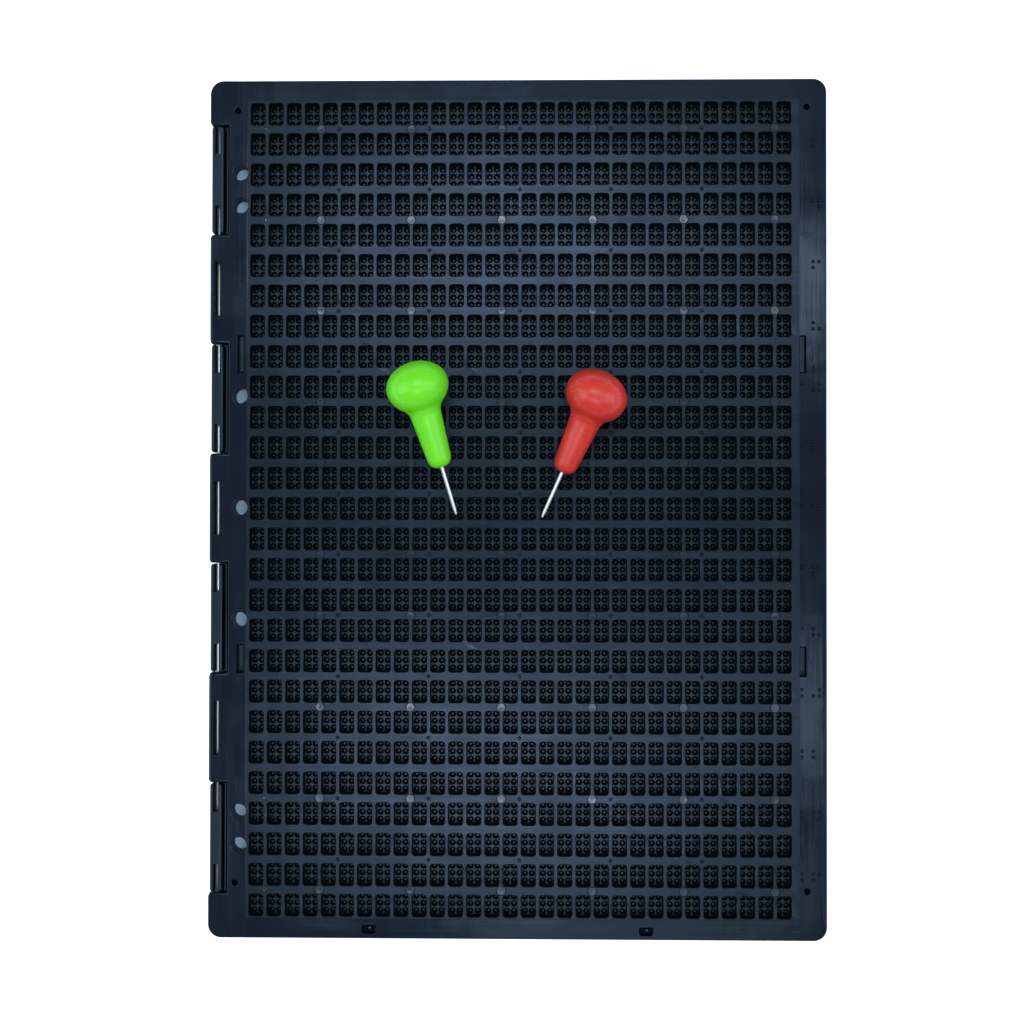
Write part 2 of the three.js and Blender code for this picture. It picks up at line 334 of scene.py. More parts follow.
def rod_channel(name, y0, y1):
    """The round bore that the rod lies in."""
    bpy.ops.object.select_all(action="DESELECT")
    bpy.ops.mesh.primitive_cylinder_add(
        vertices=24,
        radius=SLOT_WIDTH / 2 * MM,
        depth=(y1 - y0) * MM,
        location=Vector((ROD_X, (y0 + y1) / 2, ROD_Z)) * MM,
        rotation=(math.pi / 2, 0, 0),
    )
    return settle(name)


def slot_above(y0, y1):
    half = SLOT_WIDTH / 2
    return block("slot", (ROD_X - half, y0, ROD_Z), (ROD_X + half, y1, COVER_TOP + 1))


def slot_below(y0, y1):
    half = SLOT_WIDTH / 2
    return block("slot", (ROD_X - half, y0, -1), (ROD_X + half, y1, ROD_Z))


def open_half_eyes(knuckle, y0, y1, middle, ends):
    """Cuts the bore of a knuckle, and opens it on one side in the middle and on the other at the ends."""
    cut(knuckle, rod_channel("bore", y0 - 1, y1 + 1))
    cut(knuckle, middle(y0 + HALF_EYE, y1 - HALF_EYE))
    cut(knuckle, ends(y0 - 1, y0 + HALF_EYE))
    cut(knuckle, ends(y1 - HALF_EYE, y1 + 1))
    return knuckle


print(len(LOWER_SEGMENTS), "knuckles below and", len(COVER_SEGMENTS), "above")

# %% [markdown]
# ## The lower plate
#
# It is one flat moulding with a knuckle standing up at every second segment of the hinge. A box is
# rounded at its free corners, and the knuckle is modelled once, with its bore and its half eyes, and
# copied down the hinge. The small lugs stand up into the cover's four long slots and keep the two
# plates in line.

# %% The slab of the lower plate
LOWER_EDGE = 4.2
lower = block("lower_pits", (ROD_X + LOWER_EDGE, FOOT, 0), (RIGHT, HEAD, LOWER_TOP))
bevel(lower, CORNER, 8, lambda a, b: upright(a, b) and a.x > 0)
bevel(lower, 0.4, 2, level(0))
bevel(lower, 0.25, 2, level(LOWER_TOP))

# %% Its knuckles, each with a groove and a low ledge on the side of the field
GROOVE_FLOOR = 1.6
LEDGE_START, LEDGE_END, LEDGE_TOP = 2.4, 3.2, 4.3
y0, y1 = LOWER_SEGMENTS[0][0] + PLAY, LOWER_SEGMENTS[0][1] - PLAY
barrel = block("barrel", (ROD_X - BARREL_HALF, y0, 0), (ROD_X + BARREL_HALF, y1, COVER_TOP))
bevel(barrel, 0.9, 3, upright)
bevel(barrel, 0.7, 3, level(COVER_TOP))
bevel(barrel, 0.4, 2, level(0))
tongue = block("tongue", (ROD_X, y0, 0), (ROD_X + LOWER_EDGE + 2, y1, LOWER_TOP))
bevel(tongue, 0.25, 2, level(0))
join_on(barrel, tongue)
low, high = (ROD_X + BARREL_HALF, y0 - 1, GROOVE_FLOOR), (ROD_X + LEDGE_START, y1 + 1, LOWER_TOP + 1)
cut(barrel, block("groove", low, high))
ledge = block("ledge", (ROD_X + LEDGE_START, y0, GROOVE_FLOOR - 0.1), (ROD_X + LEDGE_END, y1, LEDGE_TOP))
join_on(barrel, bevel(ledge, 0.2, 2, level(LEDGE_TOP)))
open_half_eyes(barrel, y0, y1, middle=slot_below, ends=slot_above)
for start, _ in LOWER_SEGMENTS:
    join_on(lower, copy_to(barrel, y=start + PLAY - y0))
bpy.data.objects.remove(barrel)
size_note(lower)

# %% Its lugs
LUG_SLOT_WIDTH = 2.3
# The middle and the length of each slot that a lug stands in
LUG_SLOTS = [(-91.0, 50.7, 12.4), (93.5, 50.5, 12.4), (-91.0, -48.8, 8.2), (93.5, -49.3, 8.6)]
# A lug's width, its top and its gap on the side of the field
HINGE_SIDE_LUG = (1.3, 5.0, 0.32)
FREE_SIDE_LUG = (1.5, 5.5, 0.16)
LUG_ROOT, LUG_END_GAP = 1.5, 0.4
for x, y, length in LUG_SLOTS:
    width, top, inner_gap = HINGE_SIDE_LUG if x < 0 else FREE_SIDE_LUG
    inner_side = x - math.copysign(LUG_SLOT_WIDTH / 2 - inner_gap, x)
    outer_side = inner_side + math.copysign(width, x)
    low_x, high_x = sorted((inner_side, outer_side))
    half_length = length / 2 - LUG_END_GAP
    lug = block("lug", (low_x, y - half_length, LUG_ROOT), (high_x, y + half_length, top))
    bevel(lug, 0.15, 2, level(top))
    join_on(lower, lug)
print(len(LUG_SLOTS), "lugs")

# %% Its round holes and the seats of the paper pins
HOLE_X, HOLE_RADIUS, HOLE_SIDES = -91.2, 2.5, 32
HOLE_YS = [110.6, 99.8, 37.0, 0.2, -36.7, -99.7, -110.6]
SEAT_RADIUS = 0.62


def countersink(x, y, radius, depth, top, sides):
    """A cone at 45 degrees that softens the upper edge of a round hole."""
    above = 0.1
    return post("rim", x, y, radius, top - depth, top + above, sides, radius + depth + above)


pin_boxes = {name: box_mm(name) for name in sorted(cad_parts) if name.startswith("paper_pin")}
pin_places = {name: (low + high) / 2 for name, (low, high) in pin_boxes.items()}
for y in HOLE_YS:
    cut(lower, post("hole", HOLE_X, y, HOLE_RADIUS, -1, LOWER_TOP + 1, HOLE_SIDES))
    cut(lower, countersink(HOLE_X, y, HOLE_RADIUS, 0.25, LOWER_TOP, HOLE_SIDES))
for name, place in pin_places.items():
    floor_z = pin_boxes[name][0].z - 0.1
    cut(lower, post("seat", place.x, place.y, SEAT_RADIUS, floor_z, LOWER_TOP + 1, sides=16))
size_note(lower)

# %% [markdown]
# ## The pits
#
# Six pits in two columns of three make a braille cell, and each is a small steep cup with a flat
# bottom. There are nearly five thousand of them, so the cup has only eight sides: one cutter is
# repeated twice across and three times down for a cell, and the cell over the whole field.

# %% Cut the pits
DOT_ACROSS, DOT_DOWN = 2.3, 2.36
PIT_TOP, PIT_BOTTOM, PIT_DEPTH = 1.11, 0.37, 0.9
PIT_SIDES = 8
# The cutter stands a hair out of the plate, so that it opens the surface and barely widens the cup
ABOVE = 0.02
mouth = PIT_TOP + (PIT_TOP - PIT_BOTTOM) / PIT_DEPTH * ABOVE
first_x = cell_x(0) - DOT_ACROSS / 2
first_y = line_y(0) + DOT_DOWN
low, high = LOWER_TOP - PIT_DEPTH, LOWER_TOP + ABOVE
pits = post("pits", first_x, first_y, PIT_BOTTOM, low, high, PIT_SIDES, mouth)
repeat(pits, 2, (DOT_ACROSS, 0, 0))
repeat(pits, 3, (0, -DOT_DOWN, 0))
repeat(pits, CELLS, (CELL_PITCH, 0, 0))
repeat(pits, LINES, (0, -LINE_PITCH, 0))
cut(lower, pits)
size_note(lower)

# %% [markdown]
# ## The cover
#
# The cover is the same size as the lower plate, and its left edge steps in and out round the knuckles.
# Blocks with rounded edges are joined into that outline, so that the soft edge of a moulding runs
# right round every step. The part of a knuckle that reaches down beside the lower plate is a second,
# narrower block.

# %% The outline of the cover
NOTCH = 3.65
OVERLAP = 4.0
KNUCKLE_BOTTOM = 0.4
cover = block("cover_grid", (ROD_X + NOTCH, FOOT, COVER_BOTTOM), (RIGHT, HEAD, COVER_TOP))
bevel(cover, CORNER, 8, lambda a, b: upright(a, b) and a.x > 0)
bevel(cover, 0.45, 3, level(COVER_TOP))
bevel(cover, 0.2, 2, level(COVER_BOTTOM))


def hinge_block(y0, y1, outer_corner, inner_corner, top_edge):
    """A part of the cover that reaches out over the hinge, with its corners and top edge rounded."""
    made = block("reach", (LEFT, y0, COVER_BOTTOM), (ROD_X + NOTCH + OVERLAP, y1, COVER_TOP))
    middle = (y0 + y1) / 2
    away = 1 if middle > 0 else -1
    bevel(made, outer_corner, 8, lambda a, b: upright(a, b) and a.x < ROD_X and (a.y - middle) * away > 0)
    bevel(made, inner_corner, 4, lambda a, b: upright(a, b) and a.x < ROD_X and (a.y - middle) * away < 0)
    bevel(made, top_edge, 4, level(COVER_TOP))
    bevel(made, 0.2, 2, level(COVER_BOTTOM))
    return made


def hinge_drop(y0, y1):
    """The part of a cover's knuckle below the parting of the two plates."""
    made = block("drop", (LEFT, y0, KNUCKLE_BOTTOM), (ROD_X + BARREL_HALF, y1, COVER_BOTTOM + 1.5))
    bevel(made, 0.8, 3, upright)
    bevel(made, 1.0, 3, level(KNUCKLE_BOTTOM))
    return made


for y0, y1 in COVER_SEGMENTS:
    knuckle = hinge_block(y0, y1, outer_corner=1.3, inner_corner=1.3, top_edge=0.9)
    join_on(knuckle, hinge_drop(y0, y1))
    open_half_eyes(knuckle, y0, y1, middle=slot_above, ends=slot_below)
    join_on(cover, knuckle)

hinge_end = SEGMENT_ENDS[-1][1]
ROD_SEAT_DEPTH = 8.2
for side in (-1, 1):
    y0, y1 = sorted((side * hinge_end, side * HEAD))
    corner = hinge_block(y0, y1, outer_corner=CORNER, inner_corner=1.2, top_edge=0.45)
    drop_y0, drop_y1 = sorted((side * hinge_end, side * (HEAD - CORNER)))
    join_on(corner, hinge_drop(drop_y0, drop_y1))
    bore_y0, bore_y1 = sorted((side * (hinge_end - 1), side * (hinge_end + ROD_SEAT_DEPTH)))
    cut(corner, rod_channel("bore", bore_y0, bore_y1))
    join_on(cover, corner)
size_note(cover)

# %% [markdown]
# ## The holes and slots in the margins
#
# Seven round holes run down the left margin, and a small one in each corner lets a paper pin through.
# Four long slots fit over the lugs, and the two nearer the foot run on a little past their lugs, with
# square ends. Two deep pockets at the foot are where the melted plastic came into the mould, each with
# the stub of its runner.

# %% Cut the margins
PIN_HOLE_RADIUS, PIN_HOLE_SIDES = 1.05, 20
SLOT_RUN_ON, RUN_ON_HALF_WIDTH = 1.4, 1.2
UNDER_EDGE = 0.15

for y in HOLE_YS:
    cut(cover, post("hole", HOLE_X, y, HOLE_RADIUS, 0, COVER_TOP + 1, HOLE_SIDES))
    cut(cover, countersink(HOLE_X, y, HOLE_RADIUS, 0.3, COVER_TOP, HOLE_SIDES))
    low, high = COVER_BOTTOM - 0.1, COVER_BOTTOM + UNDER_EDGE
    low_radius = HOLE_RADIUS + high - low
    cut(cover, post("under_rim", HOLE_X, y, low_radius, low, high, HOLE_SIDES, HOLE_RADIUS))
for place in pin_places.values():
    cut(cover, post("pin_hole", place.x, place.y, PIN_HOLE_RADIUS, 0, COVER_TOP + 1, PIN_HOLE_SIDES))
    cut(cover, countersink(place.x, place.y, PIN_HOLE_RADIUS, 0.2, COVER_TOP, PIN_HOLE_SIDES))
for x, y, length in LUG_SLOTS:
    half_width, half_length = LUG_SLOT_WIDTH / 2, length / 2
    low, high = (x - half_width, y - half_length, 0), (x + half_width, y + half_length, COVER_TOP + 1)
    slot = block("lug_slot", low, high)
    cut(cover, bevel(slot, 0.3, 2, upright))
for x, y, length in LUG_SLOTS[2:]:
    end = y - length / 2
    low = (x - RUN_ON_HALF_WIDTH, end - SLOT_RUN_ON, 0)
    high = (x + RUN_ON_HALF_WIDTH, end + 0.2, COVER_TOP + 1)
    cut(cover, block("run_on", low, high))
size_note(cover)

# %% The two gate pockets
GATES = [(-48.4, -137.9), (42.3, -138.2)]
STUBS = [(x + 0.3, y + 0.4) for x, y in GATES]
GATE_HALF_WIDTH, GATE_HALF_HEIGHT = 2.3, 1.45
GATE_FLOOR = COVER_TOP - 2.3
STUB_ROOT_RADIUS, STUB_TOP_RADIUS = 0.75, 0.5
STUB_TOP = COVER_TOP - 0.1

for (x, y), (stub_x, stub_y) in zip(GATES, STUBS):
    low = (x - GATE_HALF_WIDTH, y - GATE_HALF_HEIGHT, GATE_FLOOR)
    high = (x + GATE_HALF_WIDTH, y + GATE_HALF_HEIGHT, COVER_TOP + 1)
    pocket = block("pocket", low, high)
    bevel(pocket, 1.0, 4, lambda a, b: upright(a, b) and a.y < y)
    bevel(pocket, 0.4, 2, lambda a, b: upright(a, b) and a.y > y)
    cut(cover, pocket)
    stub = post("stub", stub_x, stub_y, STUB_ROOT_RADIUS, GATE_FLOOR - 0.4, STUB_TOP, 16, STUB_TOP_RADIUS)
    join_on(cover, bevel(stub, 0.15, 2, level(STUB_TOP)))
size_note(cover)

# %% [markdown]
# ## What the finger reads
#
# Rows of low round dots between the lines mark every fifth cell, so that a finger can count along the
# page. In the right margin every second line has its number in braille: the letters a to j stand for
# the digits 1 to 9 and 0. One dome is made and copied to each place.

# %% A dome and its places
DOT_RADIUS, DOT_CROWN, DOT_HEIGHT = 0.85, 0.28, 0.45
# The six dots are numbered down the left column and then down the right one
BRAILLE = {
    "1": [1], "2": [1, 2], "3": [1, 4], "4": [1, 4, 5], "5": [1, 5],
    "6": [1, 2, 4], "7": [1, 2, 4, 5], "8": [1, 2, 5], "9": [2, 4], "0": [2, 4, 5],
}
NUMERAL_DOT_PITCH = 2.0
TENS_X, UNITS_X = 93.05, 96.8
TOP_DOT_ABOVE_LINE = 1.0


def numeral_places(line):
    """Where the dots of a line's number are."""
    digits = f"{line + 1:2d}"
    places = []
    for digit, x in zip(digits, (TENS_X, UNITS_X)):
        for dot in BRAILLE.get(digit, []):
            column, row = divmod(dot - 1, 3)
            y = line_y(line) + TOP_DOT_ABOVE_LINE - row * NUMERAL_DOT_PITCH
            places.append((x + column * NUMERAL_DOT_PITCH, y))
    return places


counting_places = [
    (cell_x(column - 0.5), line_y(line + 0.5))
    for line in range(0, LINES - 1, 2)
    for column in range(5, CELLS, 5)
]
number_places = [place for line in range(1, LINES, 2) for place in numeral_places(line)]
print(len(counting_places), "counting dots and", len(number_places), "dots of numbers")

# %% Raise the dots
dome = post("dome", 0, 0, DOT_RADIUS, COVER_TOP - 0.3, COVER_TOP + DOT_HEIGHT, 12, DOT_CROWN)
bevel(dome, 0.05, 2, level(COVER_TOP + DOT_HEIGHT))
dots = [copy_to(dome, x, y) for x, y in counting_places + number_places]
bpy.data.objects.remove(dome)
join_on(cover, as_one(dots))
size_note(cover)

# %% [markdown]
# ## Marks of the mould
#
# Round pins push the cover out of its mould. The end of each pin is polished, so it leaves a low bright
# disc with a shallow dish in it, and a fine ring round it where the pin runs in its bore. The ring is
# cut, a thin disc is joined on, and a flat cone is cut out of the disc; its slope is so slight that
# shading makes a smooth dish of it. The field is framed by the joint between its insert and the rest of
# the mould: a fine raised line on three sides, and a groove on the right.

# %% The marks of the ejector pins
MARK_RADIUS, MARK_RIM, MARK_DEPTH = 1.38, 0.08, 0.04
SMALL_MARK_RADIUS = 0.8
RIM_WIDTH, RING_WIDTH = 0.26, 0.22
DISH_FLOOR_SHARE = 0.4
MARK_COLUMNS = [4, 9, 14, 19, 24, 29]
MARK_LINES = [0, 3, 6, 9, 11, 14, 16, 19, 22, 25]
mark_places = [(cell_x(c - 0.5), line_y(n + 0.5)) for c in MARK_COLUMNS for n in MARK_LINES]
small_mark_places = [(cell_x(0.5), line_y(n + 0.5)) for n in (0, 3, 22, 25)]
rim_top = COVER_TOP + MARK_RIM
RING_FLOOR = COVER_TOP - 0.1


def raise_and_hollow(radius, sides, places):
    """Leaves a low disc at each place, with a ring round it, a bevelled edge and a shallow dish."""
    disc = post("rim", 0, 0, radius, COVER_TOP - 0.3, rim_top, sides)
    bevel(disc, MARK_RIM - 0.01, 2, level(rim_top))
    dish_radius = radius - RIM_WIDTH
    floor_radius = dish_radius * DISH_FLOOR_SHARE
    slope = (dish_radius - floor_radius) / MARK_DEPTH
    low, high = rim_top - MARK_DEPTH, rim_top + 0.01
    dish = post("dish", 0, 0, floor_radius, low, high, sides, dish_radius + 0.01 * slope)
    cut(disc, dish)
    ring = post("ring", 0, 0, radius + RING_WIDTH, RING_FLOOR, COVER_TOP + 1, sides)
    rings = [copy_to(ring, x, y) for x, y in places]
    discs = [copy_to(disc, x, y) for x, y in places]
    bpy.data.objects.remove(ring)
    bpy.data.objects.remove(disc)
    cut(cover, as_one(rings))
    join_on(cover, as_one(discs))


raise_and_hollow(MARK_RADIUS, 24, mark_places)
raise_and_hollow(SMALL_MARK_RADIUS, 16, small_mark_places)
size_note(cover)

# %% The insert's outline, cut clear of the round holes
LINE_WIDTH, LINE_HEIGHT, GROOVE_DEPTH = 0.3, 0.07, 0.08
HOLE_CLEARANCE = 0.45
FIELD_BOX = (-88.9, -134.4, 92.4, 134.4)
left, foot, right, head = FIELD_BOX
for name, low, high in (
    ("left_line", (left - LINE_WIDTH, foot), (left, head)),
    ("foot_line", (left, foot), (right, foot + LINE_WIDTH)),
    ("head_line", (left, head - LINE_WIDTH), (right, head)),
):
    line = block(name, (*low, COVER_TOP - 0.2), (*high, COVER_TOP + LINE_HEIGHT))
    bevel(line, LINE_HEIGHT - 0.01, 2, level(COVER_TOP + LINE_HEIGHT))
    for y in HOLE_YS:
        cut(line, post("gap", HOLE_X, y, HOLE_RADIUS + HOLE_CLEARANCE, 0, COVER_TOP + 1, HOLE_SIDES))
    join_on(cover, line)
low, high = (right, foot, COVER_TOP - GROOVE_DEPTH), (right + LINE_WIDTH, head, COVER_TOP + 1)
cut(cover, block("right_groove", low, high))
size_note(cover)

# %% [markdown]
# ## The windows
#
# Each window is a rounded opening with a softened upper edge, which the needle slides off without
# catching. The cutter is a box with rounded corners; its top face is drawn up and widened into the
# softened edge. Repeated over the field, it cuts all the windows at once.

# %% Cut the windows
WINDOW_WIDTH, WINDOW_HEIGHT, WINDOW_CORNER = 4.5, 7.05, 1.0
LIP = 0.28
x0, y0 = cell_x(0), line_y(0)
half_width, half_height = WINDOW_WIDTH / 2, WINDOW_HEIGHT / 2
low = (x0 - half_width, y0 - half_height, COVER_BOTTOM - 1)
high = (x0 + half_width, y0 + half_height, COVER_TOP - LIP)
window = block("windows", low, high)
bevel(window, WINDOW_CORNER, 3, upright)
choose_faces(window, lambda middle, normal: normal.z > 0.9)
bpy.ops.mesh.extrude_region_move(TRANSFORM_OT_translate={"value": (0, 0, LIP * MM)})
bpy.ops.transform.resize(value=(1 + 2 * LIP / WINDOW_WIDTH, 1 + 2 * LIP / WINDOW_HEIGHT, 1))
bpy.ops.mesh.extrude_region_move(TRANSFORM_OT_translate={"value": (0, 0, 1 * MM)})
bpy.ops.object.mode_set(mode="OBJECT")
repeat(window, CELLS, (CELL_PITCH, 0, 0))
repeat(window, LINES, (0, -LINE_PITCH, 0))
cut(cover, window)
size_note(cover)


# %% [markdown]
# ## Turned pieces
#
# The rod, the pins, the needles and the handles are all round. Each is drawn as half an outline, point
# by point from one pole to the other, and spun about its axis, as on a lathe.

# %% A lathe
def turn(name, outline, sides):
    """Spins an outline of (radius, height) points, in millimetres, about Z."""
    bpy.ops.object.select_all(action="DESELECT")
    bpy.ops.mesh.primitive_plane_add(size=MM, location=(0, 0, 0))
    bpy.ops.object.mode_set(mode="EDIT")
    bpy.ops.mesh.select_mode(type="VERT")
    bpy.ops.mesh.select_all(action="SELECT")
    bpy.ops.mesh.merge(type="CENTER")
    place = Vector((0, 0, 0))
    start = Vector((outline[0][0], 0, outline[0][1])) * MM
    bpy.ops.transform.translate(value=start - place)
    place = start
    for radius, height in outline[1:]:
        point = Vector((radius, 0, height)) * MM
        bpy.ops.mesh.extrude_region_move(TRANSFORM_OT_translate={"value": point - place})
        place = point
    bpy.ops.mesh.select_all(action="SELECT")
    bpy.ops.mesh.spin(steps=sides, angle=2 * math.pi, center=(0, 0, 0), axis=(0, 0, 1))
    bpy.ops.mesh.select_all(action="SELECT")
    bpy.ops.mesh.remove_doubles(threshold=0.002 * MM)
    bpy.ops.mesh.normals_make_consistent(inside=False)
    bpy.ops.object.mode_set(mode="OBJECT")
    return settle(name)


def arc(centre, radii, start, end, steps):
    """Points on part of an ellipse, with angles in degrees from the radius outwards."""
    points = []
    for i in range(steps + 1):
        angle = math.radians(start + (end - start) * i / steps)
        points.append((centre[0] + radii[0] * math.cos(angle), centre[1] + radii[1] * math.sin(angle)))
    return points


# %% [markdown]
# ## The steel rod and the paper pins
#
# The rod is a straight length of steel wire with its ends chamfered. The pins are short needles with a
# fine point that pricks the paper's corners.

# %% The rod
ROD_RADIUS, ROD_CHAMFER = 0.8, 0.25
rod_length = rod_high.y - rod_low.y
rod_outline = [
    (0, 0),
    (ROD_RADIUS - ROD_CHAMFER, 0),
    (ROD_RADIUS, ROD_CHAMFER),
    (ROD_RADIUS, rod_length - ROD_CHAMFER),
    (ROD_RADIUS - ROD_CHAMFER, rod_length),
    (0, rod_length),
]
rod = turn("hinge_wire", rod_outline, 32)
lay_down = Matrix.Rotation(-math.pi / 2, 4, "X")
rod.data.transform(Matrix.Translation(Vector((ROD_X, rod_low.y, ROD_Z)) * MM) @ lay_down)
size_note(rod)

# %% The pins
PIN_RADIUS, PIN_CHAMFER, PIN_POINT = 0.6, 0.1, 1.1
pin_low, pin_high = pin_boxes["paper_pin_1"]
pin_length = pin_high.z - pin_low.z
pin_outline = [
    (0, 0),
    (PIN_RADIUS - PIN_CHAMFER, 0),
    (PIN_RADIUS, PIN_CHAMFER),
    (PIN_RADIUS, pin_length - PIN_POINT),
    (PIN_RADIUS * 0.55, pin_length - PIN_POINT * 0.45),
    (0.08, pin_length - 0.03),
    (0, pin_length),
]
pins = {}
for name, place in pin_places.items():
    pin = turn(name.replace("paper_pin", "pin"), pin_outline, 20)
    pin.data.transform(Matrix.Translation(Vector((place.x, place.y, pin_boxes[name][0].z)) * MM))
    pins[name] = pin
print(len(pins), "pins")

# %% [markdown]
# ## The styluses
#
# The handle's head fits the hollow of the palm, and the tapered grip goes between the fingers. Its
# outline is an ellipse for the crown, another for the underside, a tight curve at the neck and a
# straight taper to the rounded end. A fine ridge round the widest part is where the two halves of the
# mould met. The needle is a plain steel pin with a rounded tip, because a sharp one would tear the
# paper.

# %% The handle's outline, from the end of the grip to the crown
# The head is widest at one height, with the crown and the underside as two ellipses from there
HEAD_RADIUS, HEAD_WIDEST = 10.1, 27.5
CROWN, UNDER = 7.9, 8.7
UNDER_ANGLE = 50.0
RIDGE = 0.02
# The neck's curve starts this share of the way up the taper
NECK_RADIUS, NECK_AT = 5.15, 19.0
FILLET_START = 0.94
GRIP_RADIUS, GRIP_AT, GRIP_FLAT = 4.0, 3.4, 1.2
NEEDLE_RADIUS, NEEDLE_REACH, NEEDLE_INSIDE = 0.65, 16.8, 13.5
TIP_RADIUS, TIP_LENGTH, POINT_LENGTH = 0.4, 0.35, 2.2


def neck_curve(start, bend, end, steps):
    """Points on a curve from start to end that is drawn towards bend."""
    points = []
    for i in range(1, steps):
        t = i / steps
        weights = ((1 - t) ** 2, 2 * t * (1 - t), t**2)
        points.append(tuple(sum(w * p[k] for w, p in zip(weights, (start, bend, end))) for k in (0, 1)))
    return points


def handle_outline():
    hole = NEEDLE_RADIUS + 0.02
    under_x = HEAD_RADIUS * math.cos(math.radians(UNDER_ANGLE))
    under_y = HEAD_WIDEST - UNDER * math.sin(math.radians(UNDER_ANGLE))
    outline = [(0, NEEDLE_INSIDE + 0.05), (hole, NEEDLE_INSIDE + 0.05), (hole, 0.0)]
    outline += arc((GRIP_FLAT, GRIP_AT), (GRIP_RADIUS - GRIP_FLAT, GRIP_AT), -90, 0, 10)
    taper_steps = 8
    for i in range(1, taper_steps + 1):
        share = i / taper_steps * FILLET_START
        radius = GRIP_RADIUS + (NECK_RADIUS - GRIP_RADIUS) * share
        outline.append((radius, GRIP_AT + (NECK_AT - GRIP_AT) * share))
    outline += neck_curve(outline[-1], (NECK_RADIUS + 0.1, NECK_AT + 0.35), (under_x, under_y), 10)
    outline += arc((0, HEAD_WIDEST), (HEAD_RADIUS, UNDER), -UNDER_ANGLE, -0.9, 14)
    outline.append((HEAD_RADIUS + RIDGE, HEAD_WIDEST))
    outline += arc((0, HEAD_WIDEST), (HEAD_RADIUS, CROWN), 0.9, 90, 22)
    outline[-1] = (0, outline[-1][1])
    return outline


needle_outline = [(0, -NEEDLE_REACH)]
needle_outline += arc((0, TIP_LENGTH - NEEDLE_REACH), (TIP_RADIUS, TIP_LENGTH), -75, 0, 4)
needle_outline += [
    (NEEDLE_RADIUS, POINT_LENGTH - NEEDLE_REACH),
    (NEEDLE_RADIUS, NEEDLE_INSIDE),
    (0, NEEDLE_INSIDE),
]
print(len(handle_outline()), "points in the handle's outline")


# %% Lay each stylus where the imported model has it
def middle_of_rim(node, end):
    """The middle of the flat end of a turned CAD node: the mean of the vertices furthest along one way."""
    points = [v.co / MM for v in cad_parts[node].data.vertices]
    reach = max(p.dot(end) for p in points)
    rim = [p for p in points if p.dot(end) > reach - 0.2]
    return sum(rim, Vector()) / len(rim)


def stylus_place(name):
    """The turn and the shift that lay a stylus along its CAD needle."""
    # The boxes of the needle and the handle give a rough direction, and the needle's ends the true one.
    low, high = box_mm(name + "_needle")
    span = high - low
    leans_right = box_mm(name + "_handle")[0].x < low.x
    way = Vector((span.x if leans_right else -span.x, -span.y, -span.z)).normalized()
    way = (middle_of_rim(name + "_needle", way) - middle_of_rim(name + "_needle", -way)).normalized()
    tip = middle_of_rim(name + "_needle", way)
    end_of_grip = tip - way * NEEDLE_REACH
    turn_to = Vector((0, 0, -1)).rotation_difference(way).to_matrix().to_4x4()
    return Matrix.Translation(end_of_grip * MM) @ turn_to


styluses = {}
for name in ("green_stylus", "red_stylus"):
    handle = turn(name + "_grip", handle_outline(), 64)
    needle = turn(name + "_point", needle_outline, 24)
    for piece in (handle, needle):
        piece.data.transform(stylus_place(name))
    styluses[name] = (handle, needle)
    size_note(handle)

# %% [markdown]
# ## Smooth where it is round
#
# Faces that meet at a small angle are shaded as one curved surface, and sharper edges stay crisp. The
# lips of the windows slope at 45 degrees and are to look rounded, so the limit lies above that. Normals
# weighted by the size of the faces keep the large flat faces flat, and bend only the narrow lips.

# %% Shade the pieces
SMOOTH_LIMIT = math.radians(50)
new_pieces = [lower, cover, rod, *pins.values()]
for pair in styluses.values():
    new_pieces += pair
for piece in new_pieces:
    only(piece)
    bpy.ops.object.shade_smooth_by_angle(angle=SMOOTH_LIMIT)
for piece in (lower, cover):
    only(piece)
    weights = piece.modifiers.new("weights", "WEIGHTED_NORMAL")
    weights.keep_sharp = True
    bpy.ops.object.modifier_apply(modifier=weights.name)
print(len(new_pieces), "new pieces")


# %% [markdown]
# ## Finishes
#
# Colours are written as they look on a screen, and one function turns them into the linear values
# that light is worked out with. One other function adds a node with its settings and its links, and
# every finish is built with it. Patterns are laid out in object coordinates, so their scale is a real
# size on the piece.

# %% Helpers for finishes
def node(tree, kind, settings=None, inputs=None):
    """Adds a node. An input is a value, or a (node, output name) pair to link from."""
    made = tree.nodes.new(kind)
    for key, value in (settings or {}).items():
        setattr(made, key, value)
    for key, value in (inputs or {}).items():
        if isinstance(value, tuple) and isinstance(value[0], bpy.types.Node):
            tree.links.new(value[0].outputs[value[1]], made.inputs[key])
        else:
            made.inputs[key].default_value = value
    return made


def finish_named(name):
    """A new material with its tree emptied, and its output node."""
    material = bpy.data.materials.new(name)
    material.use_nodes = True
    tree = material.node_tree
    tree.nodes.clear()
    return material, tree, node(tree, "ShaderNodeOutputMaterial")


def per_mm(size):
    """The scale of a noise whose features are about so many millimetres across."""
    return 1 / (size * MM)


# %% [markdown]
# ### Moulded polystyrene
#
# The plates are injection moulded in high-impact polystyrene, nearly black with a little blue. What
# the eye sees is mostly the light that the surface mirrors, so the finish of the mould counts for more
# than the colour. The margins come from a ground steel frame and are fairly glossy. The field comes
# from an insert with a fine spark-eroded texture, so its gloss is wider and duller. The plastic has
# shrunk unevenly round the windows, which makes the pale bands of light waver, most of all along the
# webs. Fine grinding lines run along each margin, and handling leaves hazy patches.

